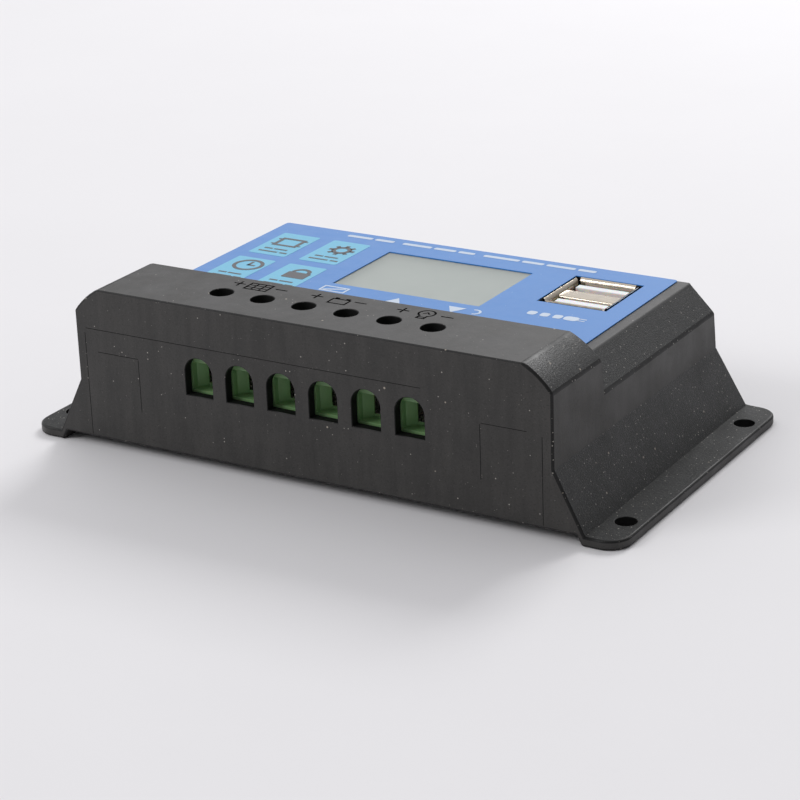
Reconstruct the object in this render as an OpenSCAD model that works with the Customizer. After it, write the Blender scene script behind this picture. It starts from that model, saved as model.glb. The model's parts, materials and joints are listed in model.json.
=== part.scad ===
// Solar charge controller: a shallow box with a raised ridge over six screw terminals,
// a display, three keys and two USB sockets on the panel behind it, and a flange at each end.
// X runs along the row of terminals, Y from the terminal face to the back, Z up.
// The origin is the middle of the footprint, on the surface that the flanges stand on.

/* [Case] */
// Overall length over both flanges
case_l = 133.5; // [132:0.5:136]
// Overall depth from the terminal face to the back edge
case_d = 73; // [72.5:0.5:76]
// Height of the terminal ridge
ridge_h = 33.6; // [33.4:0.1:36]
// Depth of the ridge's flat top
ridge_d = 18.8; // [18.8:0.1:19.6]
// Height of the panel behind the ridge
panel_h = 27.5; // [27.4:0.1:28]
// Wall thickness of the mouldings
wall = 2; // [1.8:0.1:2.2]
// Half the length over the upright end walls
end_half = 53.3; // [53:0.1:54]
// Half the length of the ridge's flat top
ridge_top_half = 47.5; // [47:0.1:48]
// Half the length of the panel's flat top
panel_top_half = 48.2; // [48:0.1:49]
// Height where the ridge's end chamfers start
ridge_chamfer_z = 28.6; // [28:0.1:29]
// Height where the panel's end chamfers start
panel_chamfer_z = 21.7; // [21:0.1:22]
// Height where the end walls start to flare out
flare_z = 13.9; // [13:0.1:15]
// Half the length at the foot of the flare
flare_half = 59.4; // [59:0.1:60]
// How far the back wall leans in from its foot to the panel
back_lean = 3.5; // [3:0.1:4]
// Angle of the ridge's back slope from upright
ridge_lean = 10.3; // [9:0.1:11]

/* [Flanges] */
// Thickness of the flanges, and height of the case's underside
flange_t = 2; // [1.8:0.1:2.4]
// Radius of the flanges' outer corners
flange_r = 4.5; // [3:0.5:6]
// Half the length between the flanges' inner edges, at the top of the flange
flange_inner_half = 57.7; // [57.6:0.1:58]
// Distance between the mounting holes along the case
mount_x = 126; // [125.5:0.1:126.5]
// Distance between the mounting holes across the case
mount_y = 53.6; // [50:0.1:56]
// Diameter of the mounting holes
mount_d = 4.2; // [3.6:0.1:4.4]

/* [Terminals] */
// Distance between neighbouring poles
pole_pitch = 9.5; // [9.4:0.05:9.6]
// Middle of the row of poles
pole_row_x = -0.3; // [-0.5:0.1:0.5]
// Distance of the screw axes behind the terminal face
pole_depth = 9.45; // [9.4:0.05:9.6]
// Width of a wire window
window_w = 6.3; // [6:0.1:6.4]
// Height of the windows' sill
window_sill = 15; // [14.9:0.1:15.1]
// Height of a window from its sill to the top of its arch
window_h = 7.9; // [7.5:0.1:8.2]
// Diameter of the screwdriver holes in the ridge
access_d = 4.8; // [4.4:0.1:5.2]
// Thread diameter of a terminal screw
terminal_thread_d = 4; // [3.8:0.1:4]
// Diameter of a terminal screw's head
terminal_head_d = 6; // [5.6:0.1:6]

/* [Panel] */
// Width of the display's opening
display_w = 34; // [33:0.1:34.4]
// Depth of the display's opening
display_d = 22.6; // [22:0.1:23]
// Middle of the display along X
display_x = 0.1; // [-0.2:0.1:0.3]
// Middle of the display along Y
display_y = 13; // [12.8:0.1:13.2]
// Diameter of a key's cap
key_d = 5.6; // [5:0.1:5.8]
// Distance between the keys
key_pitch = 14.5; // [14:0.1:15]
// Middle key along X
key_x = -0.5; // [-1:0.1:0.5]
// Row of keys along Y
key_y = -9.5; // [-10:0.1:-9]
// How far a key stands above the panel
key_rise = 1.1; // [0.9:0.1:1.5]
// Middle of the USB sockets along X
usb_x = 33.4; // [33.2:0.1:33.6]
// Middle of the USB sockets along Y
usb_y = 18.3; // [18.1:0.1:18.4]

/* [Board] */
// Width of the circuit board
board_w = 84; // [83:0.5:85]
// Height of the board's underside
board_z = 8; // [7.8:0.1:8.2]
// Thickness of the board
board_t = 1.6; // [1.5:0.1:1.6]

/* [Hidden] */
$fn = 48;

// Overshoot of a cutting shape past the face it cuts, and overlap of two joined shapes
cut = 1;
lap = 0.01;
front = -case_d / 2;
back = case_d / 2;
board_top = board_z + board_t;

// Terminal ridge and the slopes behind it. Its end chamfers bulge outward by ridge_bulge
ridge_back = front + ridge_d;
ridge_back_foot = ridge_back + (ridge_h - flange_t) * tan(ridge_lean);
ridge_back_panel = ridge_back + (ridge_h - panel_h) * tan(ridge_lean);
ridge_bulge = 0.4;
bulge_steps = 6;
back_angle = atan2(back_lean, panel_h - flange_t);
flange_bevel = 1.1;
flare_angle = atan2(flare_half - end_half, flare_z - flange_t);

// Base plate, its screws and the bosses they bite into
base_t = 2;
base_top = flange_t + base_t;
base_gap = 0.3;
base_half = flare_half - wall / cos(flare_angle) - base_t * tan(flare_angle) - base_gap;
base_front = front + wall + base_gap;
base_back = back - wall / cos(back_angle) - base_t * tan(back_angle) - base_gap;
boss_d = 7;
boss_x = 47;
boss_front = front + 7.5;
boss_back = back - 8.5;
boss_hole_depth = 12;
case_screw_d = 2.9;
case_screw_hole_d = 3;
case_screw_head_d = 5.6;
case_screw_head_h = 1.7;
case_screw_clear = 0.3;
case_head_clear = 0.6;
counterbore_depth = 1.2;
vent_w = 1.6;
vent_l = 22;
vent_x = 9;
vent_y = 2;
vent_step = 4;
vent_count = 8;

// Board posts and screws
post_d = 5.5;
board_screw_d = 2.4;
board_screw_hole_d = 2.5;
board_screw_head_d = 4.6;
board_screw_head_h = 1.5;
board_screw_l = 7;
board_screw_clear = 0.4;
board_gap = 0.6;
board_front = front + wall + board_gap;
board_back = back - 6.5;
posts = [[-39, front + 7.5], [39, front + 7.5], [-39, back - 10.5], [22.5, back - 9.5]];

// Printed film on the panel
label_t = 0.25;
label_r = 0.8;
label_left = -48;
label_right = 45.7;
label_front = ridge_back_panel + 0.4;
label_back = back - back_lean - 0.2;

// Display stack, from the lens down. The tray stands in the panel's opening and carries the lens
lens_t = 0.8;
glass_top = panel_h - 1.9;
glass_t = 2.2;
backlight_t = 2.6;
holder_wall = 1.2;
holder_gap = 0.3;
holder_floor = 1;
stack_w = display_w + 1.6;
stack_d = display_d + 2;
holder_w = stack_w + 2 * holder_wall;
holder_d = stack_d + 2 * holder_wall;
glass_z = glass_top - glass_t;
backlight_z = glass_z - backlight_t;
holder_z = backlight_z - holder_floor;
holder_leg_d = 3;
holder_leg_x = 15;
holder_leg_y = 11;
pin_count = 12;
pin_step = 2.54;
pin_w = 0.5;
pin_hole_d = 1;
pin_tail = 1.5;
pin_y = display_y - stack_d / 2 - holder_wall - pin_w;

// Keys: a cap over the long plunger of a tact switch
key_travel = 0.5;
key_hole_d = key_d + 0.4;
key_collar_d = key_d + 2;
key_collar_t = 1;
key_collar_top = panel_h - wall - 0.3;
key_skirt_d = 5.2;
key_skirt_z = 19;
plunger_d = 3.5;
plunger_top = 22.1;
plunger_z = 11.2;
socket_gap = 0.05;
switch_w = 6;
switch_h = 3.5;
switch_bore_d = 3.7;
switch_floor = 0.8;
switch_pin_d = 0.8;
switch_pin_x = 2.2;
switch_pin_hole_d = 1;

// Terminal block: housing outline from the side, then what each pole holds
pole_count = 6;
housing_gap = 0.6;
housing_front = front + wall + housing_gap;
housing_back = front + 16.5;
housing_top = 30.6;
housing_overhang = pole_pitch / 2 + 1;
lintel_top = 22.6;
lintel_bevel = 2.4;
pole_y = front + pole_depth;
recess_floor = window_sill + 0.3;
recess_top = 21;
recess_back = front + 4;
funnel_back = front + 5.6;
slot_w = 3.1;
slot_floor = recess_floor + 0.6;
slot_top = 19.9;
chamber_w = 6;
chamber_front = front + 5.8;
chamber_back = front + 13;
chamber_z = 14.5;
chamber_top = 26.4;
head_z = 27.6;
head_h = 1.8;
head_gap = 0.15;
head_pocket_top = head_z + head_h + 0.2;
head_hole_d = 5;
shaft_hole_d = 4.4;
driver_slot_w = 0.9;
driver_slot_h = 1;
thread_gap = 0.06;
clamp_w = 5.7;
clamp_wall = 0.7;
clamp_plate = 1.2;
clamp_z = 14.7;
clamp_top = 22.4;
clamp_front = front + 6;
clamp_back = front + 12.3;
bar_w = 3.8;
bar_t = 1;
bar_z = 20;
screw_tip_z = bar_z + bar_t + 0.05;
bar_gap = 0.1;
bar_front = front + 6.3;
riser_front = front + 14;
riser_back = front + 15;
solder_pin_d = 0.96;
solder_pin_hole_d = 1.5;
solder_pin_x = 1.2;
solder_pin_tail = 1.6;

// Two upright USB-A sockets in one shield
usb_sheet = 0.3;
usb_port_w = 12.5;
usb_port_d = 5.12;
usb_port_step = 9.2;
usb_body_w = usb_port_w + 2 * usb_sheet;
usb_body_d = usb_port_step + usb_port_d + 2 * usb_sheet;
usb_lip_z = panel_h - 0.8;
usb_lip_top = panel_h + 0.3;
usb_lip_w = 14.6;
usb_lip_d = 16.4;
usb_lip_len_x = 12;
usb_lip_len_y = 14.2;
usb_lip_root = 0.2;
usb_web_top = panel_h - 0.5;
usb_web_z = 15.5;
usb_tongue_w = 11.1;
usb_tongue_t = 1.84;
usb_tongue_top = panel_h - 0.6;
usb_tongue_shift = 0.34;
usb_opening_w = 15.2;
usb_opening_d = 17.1;
usb_opening_y = usb_y - 0.1;
usb_contact_t = 0.2;
usb_contact_w = 1;
usb_contact_x = [-3.5, -1, 1, 3.5];
usb_contact_z = 17;
usb_contact_top = panel_h - 2;

// Parts soldered on top of the board
mosfet_at = [[-35.5, -3], [-24.5, -3], [-35.5, 12], [-24.5, 12]];
mosfet_w = 10;
mosfet_d = 8.7;
mosfet_h = 4.4;
mosfet_tab_d = 1.6;
mosfet_tab_t = 1.3;
mosfet_lead_l = 3.6;
mosfet_lead_t = 0.5;
mosfet_lead_step = 2.54;
mosfet_lead_w = 1;
spreader_w = 21;
spreader_d = 23.7;
spreader_t = 1.5;
capacitor_1_at = [24, -10];
capacitor_2_at = [35.5, -10];
capacitor_d = 10;
capacitor_h = 13;
inductor_at = [33.5, 2];
inductor_d = 9;
inductor_h = 8;
inductor_flange_t = 1.4;
inductor_waist_d = 4.4;
winding_d = 8.2;
controller_at = [display_x, display_y];
regulator_at = [22.5, 3];
diode_at = [22.5, 11.5];
shunt_at = [-30, -14];
chip_standoff = 0.1;
chip_lead_step = 1.27;
chip_lead_w = 0.4;
chip_lead_reach = 1.3;
chip_lead_t = 0.25;
end_cap_l = 0.9;
end_cap_share = 0.6;
end_cap_standoff = 0.05;

// Mirrors half an outline, given from the bottom up, to make a whole one
function both_sides(half) =
    concat(half, [for (i = [len(half) - 1:-1:0]) [-half[i][0], half[i][1]]]);

// Middle of a pole, counted from 1 at the left
function pole_x(i) = pole_row_x + (i - (pole_count + 1) / 2) * pole_pitch;

// Place of a display pin along X, counted from 0 at the left
function pin_x(i) = display_x + (i - (pin_count - 1) / 2) * pin_step;

// Middle of a key, counted from 1 at the left
function key_at(i) = [key_x + (i - 2) * key_pitch, key_y, 0];

// Points on the arc from a to b that bulges to the right of that way by a sagitta
function arc_between(a, b, sagitta) =
    let (
        chord = norm(b - a),
        radius = chord * chord / (8 * sagitta) + sagitta / 2,
        half_angle = asin(chord / 2 / radius),
        along = (b - a) / chord,
        outward = [along[1], -along[0]],
        centre = (a + b) / 2 - outward * (radius - sagitta)
    ) [
        for (i = [0:bulge_steps])
            let (t = half_angle * (2 * i / bulge_steps - 1))
                centre + radius * (outward * cos(t) + along * sin(t))
    ];

// Half outline of the panel part of the case seen from the front, up to its flat top
function panel_outline() = [
    [flare_half, flange_t],
    [end_half, flare_z],
    [end_half, panel_chamfer_z],
    [panel_top_half, panel_h]
];

// Half outline of the ridge seen from the front, with its rounded chamfer
function ridge_outline() = concat(
    [[flare_half, flange_t], [end_half, flare_z]],
    arc_between([end_half, ridge_chamfer_z], [ridge_top_half, ridge_h], ridge_bulge)
);

// Half outline of the hollow, a wall's thickness further in and open at the bottom
function outline_inside(chamfer_z, top_half, top_z) =
    let (
        chamfer_angle = atan2(end_half - top_half, top_z - chamfer_z),
        foot_half = flare_half - wall / cos(flare_angle)
    ) [
        [foot_half + cut * tan(flare_angle), flange_t - cut],
        [end_half - wall, flare_z - wall * tan(flare_angle / 2)],
        [end_half - wall, chamfer_z - wall * tan(chamfer_angle / 2)],
        [top_half - wall * tan(45 - chamfer_angle / 2), top_z - wall]
    ];

// Extrudes an outline drawn in X and Z from y0 to y1
module along_y(y0, y1) {
    translate([0, y1, 0]) rotate([90, 0, 0]) linear_extrude(y1 - y0) children();
}

// Extrudes an outline drawn in Y and Z from x0 to x1
module along_x(x0, x1) {
    translate([x0, 0, 0]) rotate([90, 0, 90]) linear_extrude(x1 - x0) children();
}

// A block given by its lowest and highest corner
module block(low, high) {
    translate(low) cube(high - low);
}

// A block centred in X and Y on a point, from z0 to z1
module pad(at, w, d, z0, z1) {
    translate([at[0], at[1], z0]) translate([-w / 2, -d / 2, 0]) cube([w, d, z1 - z0]);
}

// A rod standing on a point, from z0 to z1
module rod(at, d, z0, z1) {
    translate([at[0], at[1], z0]) cylinder(d = d, h = z1 - z0);
}

// A rectangle with round corners, centred in X and Y
module round_rect(w, d, r) {
    square([w - 2 * r, d], center = true);
    square([w, d - 2 * r], center = true);
    for (sx = [-1, 1], sy = [-1, 1])
        translate([sx * (w / 2 - r), sy * (d / 2 - r)]) circle(r);
}

// The case's outer form without its flanges
module case_form() {
    intersection() {
        along_y(front, back)
            polygon(both_sides(panel_outline()));
        along_x(-case_l / 2, case_l / 2)
            polygon([
                [front, flange_t], [front, panel_h],
                [back - back_lean, panel_h], [back, flange_t]
            ]);
    }
    intersection() {
        along_y(front, ridge_back_foot)
            polygon(both_sides(ridge_outline()));
        along_x(-case_l / 2, case_l / 2)
            polygon([
                [front, flange_t], [front, ridge_h],
                [ridge_back, ridge_h], [ridge_back_foot, flange_t]
            ]);
    }
}

// The hollow inside the case, open at the bottom
module case_hollow() {
    back_in = wall / cos(back_angle);
    ridge_in = wall / cos(ridge_lean);
    intersection() {
        along_y(front + wall, back)
            polygon(both_sides(outline_inside(panel_chamfer_z, panel_top_half, panel_h)));
        along_x(-case_l / 2, case_l / 2)
            polygon([
                [front + wall, flange_t - cut], [front + wall, panel_h - wall],
                [back - back_lean - back_in + wall * tan(back_angle), panel_h - wall],
                [back - back_in + cut * tan(back_angle), flange_t - cut]
            ]);
    }
    intersection() {
        along_y(front + wall, ridge_back_foot)
            polygon(both_sides(outline_inside(ridge_chamfer_z, ridge_top_half, ridge_h)));
        along_x(-case_l / 2, case_l / 2)
            polygon([
                [front + wall, flange_t - cut], [front + wall, ridge_h - wall],
                [ridge_back - ridge_in + wall * tan(ridge_lean), ridge_h - wall],
                [ridge_back_foot - ridge_in + cut * tan(ridge_lean), flange_t - cut]
            ]);
    }
}

// A flange with two mounting holes and a bevelled inner edge
module flange() {
    bevel_half = flange_inner_half + flange_bevel;
    difference() {
        intersection() {
            linear_extrude(flange_t) round_rect(case_l, case_d, flange_r);
            along_y(front, back)
                polygon([
                    [bevel_half, 0], [case_l / 2, 0],
                    [case_l / 2, flange_t], [flange_inner_half, flange_t]
                ]);
        }
        for (s = [-1, 1])
            rod([mount_x / 2, s * mount_y / 2], mount_d, -cut, flange_t + cut);
    }
}

// Where the four case screws stand
module at_bosses() {
    for (sx = [-1, 1], y = [boss_front, boss_back]) translate([sx * boss_x, y, 0]) children();
}

// Where the four board screws stand
module at_posts() {
    for (p = posts) translate([p[0], p[1], 0]) children();
}

// A window with an arched top, drawn in X and Z on its own middle
module window_outline() {
    r = window_w / 2;
    translate([-r, window_sill]) square([window_w, window_h - r]);
    translate([0, window_sill + window_h - r]) circle(r);
}

// Upper case moulding with the terminal ridge and both mounting flanges
module top_shell() {
    color("#232323") {
        difference() {
            union() {
                difference() {
                    case_form();
                    case_hollow();
                }
                intersection() {
                    case_form();
                    union() {
                        at_bosses() rod([0, 0], boss_d, base_top, ridge_h);
                        at_posts() rod([0, 0], post_d, board_top, ridge_h);
                    }
                }
            }
            for (i = [1:pole_count]) {
                translate([pole_x(i), 0, 0])
                    along_y(front - cut, front + wall + cut) window_outline();
                rod([pole_x(i), pole_y], access_d, ridge_h - wall - cut, ridge_h + cut);
            }
            pad([display_x, display_y], holder_w + 2 * holder_gap, holder_d + 2 * holder_gap,
                panel_h - wall - cut, panel_h + cut);
            pad([usb_x, usb_opening_y], usb_opening_w, usb_opening_d,
                panel_h - wall - cut, panel_h + cut);
            for (i = [1:3])
                translate(key_at(i)) rod([0, 0], key_hole_d, panel_h - wall - cut, panel_h + cut);
            at_bosses()
                rod([0, 0], case_screw_hole_d, base_top - cut, base_top + boss_hole_depth);
            at_posts()
                rod([0, 0], board_screw_hole_d, board_top - cut, board_top + board_screw_l);
        }
        flange();
        mirror([1, 0, 0]) flange();
    }
}

// Flat lower cover with two fields of ventilation slots
module base_plate() {
    color("#232323")
    difference() {
        block([-base_half, base_front, flange_t], [base_half, base_back, base_top]);
        at_bosses() {
            rod([0, 0], case_screw_hole_d + case_screw_clear, flange_t - cut, base_top + cut);
            rod([0, 0], case_screw_head_d + case_head_clear,
                flange_t - cut, flange_t + counterbore_depth);
        }
        for (s = [-1, 1], i = [0:vent_count - 1])
            pad([s * (vent_x + i * vent_step), vent_y], vent_w, vent_l,
                flange_t - cut, base_top + cut);
    }
}

// Pan-head screw with a cross recess, its head down, from the head's seat upward
module pan_screw(head_d, head_h, shank_d, shank_l) {
    recess_l = head_d * 0.6;
    recess_w = head_d * 0.16;
    recess_h = head_h * 0.5;
    difference() {
        union() {
            rod([0, 0], head_d, -head_h, 0);
            rod([0, 0], shank_d, 0, shank_l);
        }
        pad([0, 0], recess_l, recess_w, -head_h - cut, -head_h + recess_h);
        pad([0, 0], recess_w, recess_l, -head_h - cut, -head_h + recess_h);
    }
}

// Four screws that hold the base plate to the upper moulding
module case_screws() {
    color("silver")
    at_bosses() translate([0, 0, flange_t + counterbore_depth])
        pan_screw(case_screw_head_d, case_screw_head_h, case_screw_d, boss_hole_depth - 1);
}

// Printed film with openings for the display, the keys and the sockets
module label_overlay() {
    w = label_right - label_left;
    d = label_back - label_front;
    color("#3f74c8")
    difference() {
        translate([label_left + w / 2, label_front + d / 2, panel_h])
            linear_extrude(label_t) round_rect(w, d, label_r);
        pad([display_x, display_y], display_w, display_d, panel_h - cut, panel_h + cut);
        pad([usb_x, usb_opening_y], usb_opening_w, usb_opening_d, panel_h - cut, panel_h + cut);
        for (i = [1:3])
            translate(key_at(i)) rod([0, 0], key_hole_d, panel_h - cut, panel_h + cut);
    }
}

// Clear lens on the tray's rim, under the window in the film
module display_window() {
    color([0.85, 0.9, 0.92, 0.4])
    pad([display_x, display_y], holder_w, holder_d, panel_h - lens_t, panel_h);
}

// Two glass layers of the display
module display_glass() {
    color("#a3ab9f")
    pad([display_x, display_y], stack_w, stack_d, glass_z, glass_top);
}

// Light guide under the glass
module display_backlight() {
    color("white")
    pad([display_x, display_y], stack_w, stack_d, backlight_z, glass_z);
}

// Tray on four legs that carries the display over the board
module display_holder() {
    color("whitesmoke") {
        difference() {
            pad([display_x, display_y], holder_w, holder_d, holder_z, panel_h - lens_t);
            pad([display_x, display_y], stack_w, stack_d, backlight_z, panel_h + cut);
        }
        for (sx = [-1, 1], sy = [-1, 1])
            rod([display_x + sx * holder_leg_x, display_y + sy * holder_leg_y],
                holder_leg_d, board_top, holder_z);
    }
}

// Row of pins from the display's edge through the board
module display_pins() {
    color("gold")
    for (i = [0:pin_count - 1])
        pad([pin_x(i), pin_y + pin_w / 2], pin_w, pin_w, board_z - pin_tail, backlight_z);
}

// Key cap with a collar that stops it under the panel and a socket for the plunger
module key(i) {
    color("#1b1b1b")
    translate(key_at(i))
    difference() {
        union() {
            rod([0, 0], key_skirt_d, key_skirt_z, key_collar_top);
            rod([0, 0], key_collar_d, key_collar_top - key_collar_t, key_collar_top);
            rod([0, 0], key_d, key_collar_top, panel_h + key_rise);
        }
        rod([0, 0], plunger_d + 2 * socket_gap, key_skirt_z - cut, plunger_top);
    }
}

module menu_key() { key(1); }

module up_key() { key(2); }

module down_key() { key(3); }

// Long plunger of a tact switch
module plunger(i) {
    color("dimgray")
    translate(key_at(i)) rod([0, 0], plunger_d, plunger_z, plunger_top);
}

module menu_plunger() { plunger(1); }

module up_plunger() { plunger(2); }

module down_plunger() { plunger(3); }

// Body of a tact switch with its four pins
module switch_body(i) {
    color("#303030")
    translate(key_at(i)) {
        difference() {
            pad([0, 0], switch_w, switch_w, board_top, board_top + switch_h);
            rod([0, 0], switch_bore_d, board_top + switch_floor, board_top + switch_h + cut);
        }
        for (sx = [-1, 1], sy = [-1, 1])
            rod([sx * switch_pin_x, sy * switch_pin_x], switch_pin_d, board_z - 1, board_top);
    }
}

module menu_switch() { switch_body(1); }

module up_switch() { switch_body(2); }

module down_switch() { switch_body(3); }

// Circuit board with holes for every pin and screw
module circuit_board() {
    color("darkgreen")
    difference() {
        block([-board_w / 2, board_front, board_z], [board_w / 2, board_back, board_top]);
        at_posts() rod([0, 0], board_screw_d + board_screw_clear, board_z - cut, board_top + cut);
        for (i = [0:pin_count - 1])
            rod([pin_x(i), pin_y + pin_w / 2], pin_hole_d, board_z - cut, board_top + cut);
        for (i = [1:3], sx = [-1, 1], sy = [-1, 1])
            translate(key_at(i))
                rod([sx * switch_pin_x, sy * switch_pin_x], switch_pin_hole_d,
                    board_z - cut, board_top + cut);
        for (i = [1:pole_count], s = [-1, 1])
            rod([pole_x(i) + s * solder_pin_x, (riser_front + riser_back) / 2],
                solder_pin_hole_d, board_z - cut, board_top + cut);
    }
}

// Four screws that hold the board to its posts
module board_screws() {
    color("silver")
    at_posts() translate([0, 0, board_z])
        pan_screw(board_screw_head_d, board_screw_head_h, board_screw_d,
            board_t + board_screw_l - 1);
}

// What is hollow in the housing at one pole: wire entry, clamp chamber and screw pocket
module pole_hollow() {
    half_w = window_w / 2;
    block([-half_w, housing_front - cut, recess_floor], [half_w, recess_back, recess_top]);
    translate([0, 0, recess_floor])
        linear_extrude(recess_top - recess_floor)
            polygon([
                [-half_w, recess_back - lap], [half_w, recess_back - lap],
                [slot_w / 2, funnel_back], [-slot_w / 2, funnel_back]
            ]);
    block([-slot_w / 2, recess_back, slot_floor], [slot_w / 2, chamber_front + cut, slot_top]);
    block([-chamber_w / 2, chamber_front, chamber_z], [chamber_w / 2, chamber_back, chamber_top]);
    block([-bar_w / 2 - bar_gap, chamber_back - cut, board_top - cut],
        [bar_w / 2 + bar_gap, riser_back + bar_gap, bar_z + bar_t + bar_gap]);
    translate([0, pole_y, 0]) {
        rod([0, 0], shaft_hole_d, chamber_top - cut, head_z + cut);
        rod([0, 0], terminal_head_d + 2 * head_gap, head_z, head_pocket_top);
        rod([0, 0], head_hole_d, head_z, housing_top + cut);
    }
}

// Green body of the six-pole terminal block
module terminal_housing() {
    color("#3f8a3a")
    difference() {
        along_x(pole_x(1) - housing_overhang, pole_x(pole_count) + housing_overhang)
            polygon([
                [housing_front, board_top], [housing_front, lintel_top],
                [housing_front + lintel_bevel, lintel_top + lintel_bevel],
                [housing_front + lintel_bevel, housing_top],
                [housing_back, housing_top], [housing_back, board_top]
            ]);
        for (i = [1:pole_count]) translate([pole_x(i), 0, 0]) pole_hollow();
    }
}

// Slotted screw, held down by the housing, that draws a clamp up
module terminal_screw(i) {
    color("lightgray")
    translate([pole_x(i), pole_y, 0])
    difference() {
        union() {
            rod([0, 0], terminal_head_d, head_z, head_z + head_h);
            rod([0, 0], terminal_thread_d, screw_tip_z, head_z);
        }
        pad([0, 0], terminal_head_d + cut, driver_slot_w,
            head_z + head_h - driver_slot_h, head_z + head_h + cut);
    }
}

// Clamp ring that rises along its screw and presses a wire against the bar inside it
module terminal_clamp(i) {
    color("gainsboro")
    translate([pole_x(i), 0, 0])
    difference() {
        block([-clamp_w / 2, clamp_front, clamp_z], [clamp_w / 2, clamp_back, clamp_top]);
        block([-clamp_w / 2 + clamp_wall, clamp_front - cut, clamp_z + clamp_plate],
            [clamp_w / 2 - clamp_wall, clamp_back + cut, clamp_top - clamp_plate]);
        rod([0, pole_y], terminal_thread_d + 2 * thread_gap,
            clamp_top - clamp_plate - cut, clamp_top + cut);
    }
}

// Fixed bar inside the clamp, with a riser and two solder pins through the board
module terminal_contact(i) {
    color("silver")
    translate([pole_x(i), 0, 0]) {
        block([-bar_w / 2, bar_front, bar_z], [bar_w / 2, riser_back, bar_z + bar_t]);
        block([-bar_w / 2, riser_front, board_top], [bar_w / 2, riser_back, bar_z + bar_t]);
        for (s = [-1, 1])
            rod([s * solder_pin_x, (riser_front + riser_back) / 2], solder_pin_d,
                board_z - solder_pin_tail, board_top + cut);
    }
}

// Steel shield round both sockets, with flared lips at the mouth and a web between them
module usb_shell() {
    web_half = (usb_port_step - usb_port_d) / 2;
    color("#c9c5bb")
    translate([usb_x, usb_y, 0]) {
        difference() {
            pad([0, 0], usb_body_w, usb_body_d, board_top, usb_lip_z);
            pad([0, 0], usb_port_w, usb_body_d - 2 * usb_sheet, board_top - cut, usb_lip_z + cut);
        }
        difference() {
            pad([0, 0], usb_port_w, 2 * web_half, usb_web_z, usb_web_top);
            pad([0, 0], usb_port_w, 2 * (web_half - usb_sheet),
                usb_web_z - cut, usb_web_top - usb_sheet);
        }
        for (s = [0, 1])
            mirror([s, 0, 0])
                along_y(-usb_lip_len_y / 2, usb_lip_len_y / 2)
                    polygon([
                        [usb_port_w / 2, usb_lip_z - usb_lip_root],
                        [usb_body_w / 2, usb_lip_z - usb_lip_root],
                        [usb_lip_w / 2, usb_lip_top], [usb_lip_w / 2 - usb_sheet, usb_lip_top],
                        [usb_port_w / 2, usb_lip_z + usb_lip_root]
                    ]);
        for (s = [0, 1])
            mirror([0, s, 0])
                along_x(-usb_lip_len_x / 2, usb_lip_len_x / 2)
                    polygon([
                        [usb_body_d / 2 - usb_sheet, usb_lip_z - usb_lip_root],
                        [usb_body_d / 2, usb_lip_z - usb_lip_root],
                        [usb_lip_d / 2, usb_lip_top], [usb_lip_d / 2 - usb_sheet, usb_lip_top],
                        [usb_body_d / 2 - usb_sheet, usb_lip_z + usb_lip_root]
                    ]);
    }
}

// White body of the sockets with one tongue in each
module usb_insulator() {
    color("white")
    translate([usb_x, usb_y, 0]) {
        pad([0, 0], usb_port_w, usb_body_d - 2 * usb_sheet, board_top, usb_web_z);
        for (s = [-1, 1])
            pad([0, s * usb_port_step / 2 + usb_tongue_shift], usb_tongue_w, usb_tongue_t,
                usb_web_z, usb_tongue_top);
    }
}

// Four spring contacts on the back of each tongue
module usb_contacts() {
    color("gold")
    translate([usb_x, usb_y + usb_tongue_shift + usb_tongue_t / 2 + usb_contact_t / 2, 0])
        for (s = [-1, 1], x = usb_contact_x)
            pad([x, s * usb_port_step / 2], usb_contact_w, usb_contact_t,
                usb_contact_z, usb_contact_top);
}

// Power transistor lying on the board: body, tab at the back, two leads at the front
module mosfet(i) {
    at = mosfet_at[i - 1];
    color("#1f1f1f") {
        pad(at, mosfet_w, mosfet_d, board_top, board_top + mosfet_h);
        pad(at + [0, (mosfet_d + mosfet_tab_d) / 2], mosfet_w, mosfet_tab_d,
            board_top, board_top + mosfet_tab_t);
        for (s = [-1, 1])
            pad(at + [s * mosfet_lead_step, -(mosfet_d + mosfet_lead_l) / 2],
                mosfet_lead_w, mosfet_lead_l, board_top, board_top + mosfet_lead_t);
    }
}

module mosfet_1() { mosfet(1); }

module mosfet_2() { mosfet(2); }

module mosfet_3() { mosfet(3); }

module mosfet_4() { mosfet(4); }

// Aluminium plate across the tops of the four transistors
module heat_spreader() {
    centre = (mosfet_at[0] + mosfet_at[3]) / 2;
    color("lightsteelblue")
    pad(centre, spreader_w, spreader_d, board_top + mosfet_h, board_top + mosfet_h + spreader_t);
}

// Upright electrolytic capacitor
module capacitor(at) {
    color("midnightblue") rod(at, capacitor_d, board_top, board_top + capacitor_h);
}

module capacitor_1() { capacitor(capacitor_1_at); }

module capacitor_2() { capacitor(capacitor_2_at); }

// Ferrite drum of the USB supply's inductor
module inductor_core() {
    color("#2b2b2e") {
        rod(inductor_at, inductor_d, board_top, board_top + inductor_flange_t);
        rod(inductor_at, inductor_waist_d, board_top, board_top + inductor_h);
        rod(inductor_at, inductor_d,
            board_top + inductor_h - inductor_flange_t, board_top + inductor_h);
    }
}

// Copper winding round the drum's waist
module inductor_winding() {
    z0 = board_top + inductor_flange_t;
    z1 = board_top + inductor_h - inductor_flange_t;
    color("peru")
    difference() {
        rod(inductor_at, winding_d, z0, z1);
        rod(inductor_at, inductor_waist_d, z0 - cut, z1 + cut);
    }
}

// Gull-wing chip: a body with leads along two sides
module chip(at, w, d, h, leads) {
    color("#202022") {
        pad(at, w, d, board_top + chip_standoff, board_top + h);
        for (i = [0:leads - 1])
            pad(at + [(i - (leads - 1) / 2) * chip_lead_step, 0], chip_lead_w, d + 2 * chip_lead_reach,
                board_top, board_top + chip_lead_t);
    }
}

module microcontroller() { chip(controller_at, 12.8, 7.5, 2.3, 10); }

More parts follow.
